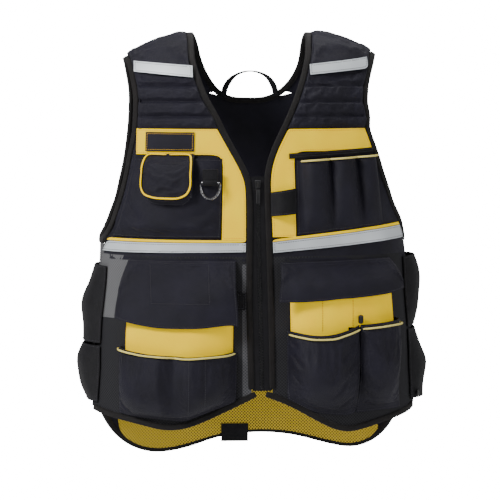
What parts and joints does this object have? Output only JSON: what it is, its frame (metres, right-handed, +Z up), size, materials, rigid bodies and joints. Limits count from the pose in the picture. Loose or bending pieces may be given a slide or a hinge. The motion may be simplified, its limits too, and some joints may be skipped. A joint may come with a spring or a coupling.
{
  "type": "utility work vest",
  "caption": "Black and yellow utility work vest in its worn form, with ribbed shoulder pads, reflective bands, tool and hip pockets, side straps and a steel D-ring",
  "frame": {"origin": "at shoulder height midway between the shoulders, on the plane of symmetry of the body", "axes": "+Z is up, -Y is the front of the vest, -X is the wearer's right"},
  "size_m": [0.5303, 0.2879, 0.6484],
  "materials": {
    "black_cloth": "woven, matt",
    "black_mesh": "open mesh, matt",
    "grey_mesh": "open mesh, matt",
    "yellow_cloth": "woven, matt",
    "yellow_mesh": "open mesh, matt",
    "cream_piping": "satin piping",
    "silver_tape": "retroreflective tape",
    "black_webbing": "ribbed webbing",
    "dark_binding": "ribbed binding tape",
    "steel": "satin",
    "black_plastic": "satin"
  },
  "bodies": {
    "root": {"right_shoulder_pad": "black_cloth", "left_shoulder_pad": "black_cloth", "right_front_panel": "black_cloth", "right_front_mesh": "black_mesh", "left_front_panel": "black_cloth", "left_front_mesh": "black_mesh", "back_panel": "black_cloth", "back_lining": "yellow_mesh", "left_side_mesh": "grey_mesh", "right_side_mesh": "grey_mesh", "right_armhole_binding": "dark_binding", "left_armhole_binding": "dark_binding", "neck_binding": "dark_binding", "right_front_hem_binding": "dark_binding", "left_front_hem_binding": "dark_binding", "back_hem_binding": "dark_binding", "hem_tab": "black_webbing", "right_shoulder_reflector": "silver_tape", "left_shoulder_reflector": "silver_tape", "right_zip_tape": "black_webbing", "left_zip_tape": "black_webbing", "zip_teeth": "black_plastic", "zip_slider": "black_plastic", "zip_pull": "black_plastic", "right_waist_edging": "yellow_cloth", "right_waist_reflector": "silver_tape", "left_waist_edging": "yellow_cloth", "left_waist_reflector": "silver_tape", "right_yellow_panel": "yellow_cloth", "left_yellow_panel": "yellow_cloth", "label_patch": "black_cloth", "chest_pouch": "black_cloth", "flap_pocket": "black_cloth", "chest_flap": "black_cloth", "flap_piping": "yellow_cloth", "ring_keeper": "black_webbing", "webbing_loop": "black_webbing", "tool_pocket": "black_cloth", "tool_binding": "dark_binding", "tool_piping": "cream_piping", "right_hip_liner": "yellow_cloth", "right_hip_pouch": "black_cloth", "right_hip_piping": "cream_piping", "right_hip_flap": "black_cloth", "zip_side_tab": "black_webbing", "left_hip_liner": "yellow_cloth", "left_hip_pouch_front": "black_cloth", "left_hip_pouch_side": "black_cloth", "left_hip_piping_front": "cream_piping", "left_hip_piping_side": "cream_piping", "left_hip_flap": "black_cloth", "toggle": "black_plastic", "right_upper_strap": "black_webbing", "right_lower_strap": "black_webbing", "left_upper_strap": "black_webbing", "left_lower_strap": "black_webbing", "stud": "black_plastic", "hanger_loop": "black_webbing"},
    "ring": {"d_ring": "steel"}
  },
  "joints": [
    {"name": "d_ring_swing", "type": "hinge", "parent": "root", "child": "ring", "pos_m": [-0.07351, -0.13309, -0.20021], "axis": [-0.9941, 0.1085, 0], "range_deg": [0, 150]}
  ]
}
